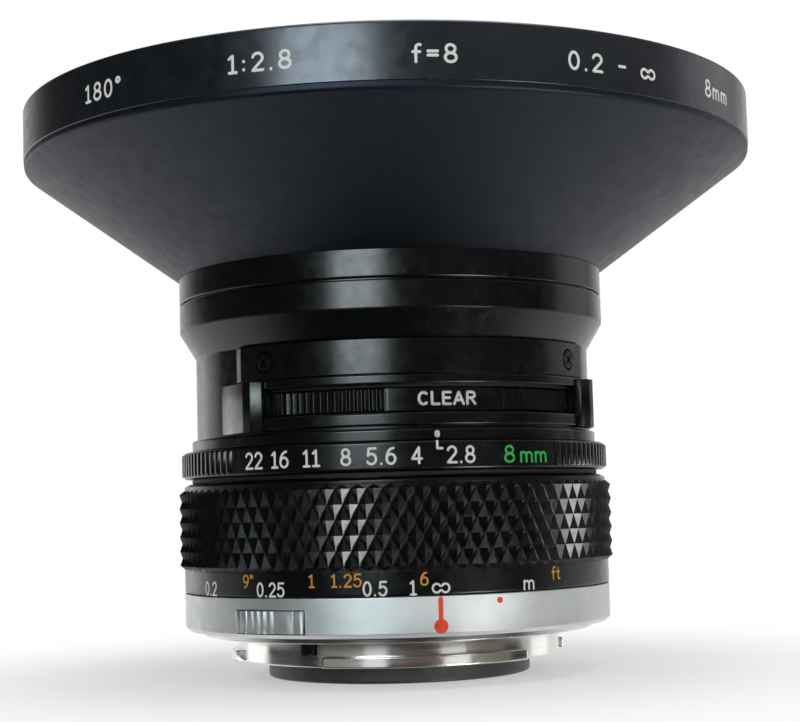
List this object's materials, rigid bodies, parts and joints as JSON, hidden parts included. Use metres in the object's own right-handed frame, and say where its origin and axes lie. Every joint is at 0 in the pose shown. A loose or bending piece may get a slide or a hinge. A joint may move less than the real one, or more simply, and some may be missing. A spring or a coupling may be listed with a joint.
{
  "type": "fisheye lens",
  "caption": "Circular fisheye lens for a single-lens reflex camera, with a flared front, domed glass, built-in filter wheel, iris, focusing ring and rear bayonet.",
  "frame": {"origin": "centre of the camera mount's register face, on the optical axis", "axes": "+Z along the optical axis to the front glass, -Y toward the index line"},
  "size_m": [0.102, 0.102, 0.0878],
  "materials": {
    "black_aluminium": "semi-gloss black",
    "dull_black": "matte black",
    "silver": "satin",
    "chrome": "polished",
    "rubber": "matte",
    "brass": "turned",
    "steel": "plain",
    "black_steel": "blackened",
    "lens_glass": "coated",
    "clear_glass": "polished",
    "yellow_glass": "polished",
    "orange_glass": "polished",
    "red_glass": "polished"
  },
  "bodies": {
    "mount": {"mount_barrel": "silver", "bayonet_plate": "chrome", "mount_screws": "steel", "rear_baffle": "dull_black", "fixed_tube": "silver", "focus_key": "brass", "release_spring": "steel", "preview_spring": "steel"},
    "focusing": {"focus_ring": "black_aluminium", "focus_grip": "rubber"},
    "front": {"front_carrier": "dull_black", "helicoid_tube": "brass", "rear_cell": "dull_black", "iris_base": "dull_black", "iris_lid": "dull_black", "index_ring": "black_aluminium", "turret_plate": "dull_black", "turret_lid": "dull_black", "turret_axle": "steel", "turret_housing": "black_aluminium", "window_frame": "black_aluminium", "turret_cover": "black_aluminium", "cover_screws": "black_steel", "neck_lower": "black_aluminium", "neck_upper": "black_aluminium", "front_cell": "dull_black", "front_cone": "black_aluminium", "front_retainer": "black_aluminium", "cell_retainers": "dull_black", "rear_retainer": "dull_black", "glass_1": "lens_glass", "glass_2": "lens_glass", "glass_3": "lens_glass", "glass_4": "lens_glass", "glass_5": "lens_glass", "glass_6": "lens_glass", "glass_7": "lens_glass", "glass_8": "lens_glass", "glass_9": "lens_glass", "glass_10": "lens_glass", "glass_11": "lens_glass"},
    "aperture": {"aperture_ring": "black_aluminium", "iris_cam_ring": "black_steel"},
    "selector": {"filter_ring": "black_aluminium"},
    "turret": {"turret_wheel": "brass", "clear_filter": "clear_glass", "yellow_filter": "yellow_glass", "orange_filter": "orange_glass", "red_filter": "red_glass", "filter_retainers": "dull_black"},
    "release": {"release_button": "silver", "lock_catch": "black_steel"},
    "preview": {"preview_button": "silver"},
    "lever": {"stop_down_lever": "steel"},
    "blade_1": {"iris_blade_1": "black_steel"},
    "blade_2": {"iris_blade_2": "black_steel"},
    "blade_3": {"iris_blade_3": "black_steel"},
    "blade_4": {"iris_blade_4": "black_steel"},
    "blade_5": {"iris_blade_5": "black_steel"},
    "blade_6": {"iris_blade_6": "black_steel"}
  },
  "joints": [
    {"name": "focus_turn", "type": "hinge", "parent": "mount", "child": "focusing", "pos_m": [0, 0, 0.0128], "axis": [0, 0, 1], "range_deg": [0, 66]},
    {"name": "front_extend", "type": "slide", "parent": "mount", "child": "front", "axis": [0, 0, 1], "range_m": [0, 0.00065]},
    {"name": "aperture_turn", "type": "hinge", "parent": "front", "child": "aperture", "pos_m": [0, 0, 0.0234], "axis": [0, 0, 1], "range_deg": [0, 47.6]},
    {"name": "filter_select", "type": "hinge", "parent": "front", "child": "selector", "pos_m": [0, 0, 0.0306], "axis": [0, 0, 1], "range_deg": [0, 180]},
    {"name": "turret_turn", "type": "hinge", "parent": "front", "child": "turret", "pos_m": [0, -0.008, 0.0306], "axis": [0, 0, 1], "range_deg": [0, 270]},
    {"name": "release_press", "type": "slide", "parent": "mount", "child": "release", "axis": [0.6984, 0.7157, 0], "range_m": [0, 0.001], "stiffness_N_per_m": 600, "springref_m": -0.001, "deforming": ["release_spring"]},
    {"name": "preview_press", "type": "slide", "parent": "mount", "child": "preview", "axis": [-0.6984, -0.7157, 0], "range_m": [0, 0.001], "stiffness_N_per_m": 600, "springref_m": -0.001, "deforming": ["preview_spring"]},
    {"name": "stop_down_turn", "type": "hinge", "parent": "mount", "child": "lever", "pos_m": [0, 0, 0.0018], "axis": [0, 0, 1], "range_deg": [0, 25], "stiffness_Nm_per_rad": 0.02, "springref_deg": -17.19},
    {"name": "blade_1_turn", "type": "hinge", "parent": "front", "child": "blade_1", "pos_m": [0, -0.0095, 0.0225], "axis": [0, 0, 1], "range_deg": [0, 26]},
    {"name": "blade_2_turn", "type": "hinge", "parent": "front", "child": "blade_2", "pos_m": [0.00823, -0.00475, 0.0225], "axis": [0, 0, 1], "range_deg": [0, 26]},
    {"name": "blade_3_turn", "type": "hinge", "parent": "front", "child": "blade_3", "pos_m": [0.00823, 0.00475, 0.0225], "axis": [0, 0, 1], "range_deg": [0, 26]},
    {"name": "blade_4_turn", "type": "hinge", "parent": "front", "child": "blade_4", "pos_m": [0, 0.0095, 0.0225], "axis": [0, 0, 1], "range_deg": [0, 26]},
    {"name": "blade_5_turn", "type": "hinge", "parent": "front", "child": "blade_5", "pos_m": [-0.00823, 0.00475, 0.0225], "axis": [0, 0, 1], "range_deg": [0, 26]},
    {"name": "blade_6_turn", "type": "hinge", "parent": "front", "child": "blade_6", "pos_m": [-0.00823, -0.00475, 0.0225], "axis": [0, 0, 1], "range_deg": [0, 26]}
  ],
  "couplings": [
    {"joint": "focus_turn", "follows": "front_extend", "rad_per_m": 1772},
    {"joint": "turret_turn", "follows": "filter_select", "ratio": 1.5},
    {"joint": "blade_1_turn", "follows": "aperture_turn", "ratio": 0.5462},
    {"joint": "blade_2_turn", "follows": "aperture_turn", "ratio": 0.5462},
    {"joint": "blade_3_turn", "follows": "aperture_turn", "ratio": 0.5462},
    {"joint": "blade_4_turn", "follows": "aperture_turn", "ratio": 0.5462},
    {"joint": "blade_5_turn", "follows": "aperture_turn", "ratio": 0.5462},
    {"joint": "blade_6_turn", "follows": "aperture_turn", "ratio": 0.5462}
  ]
}
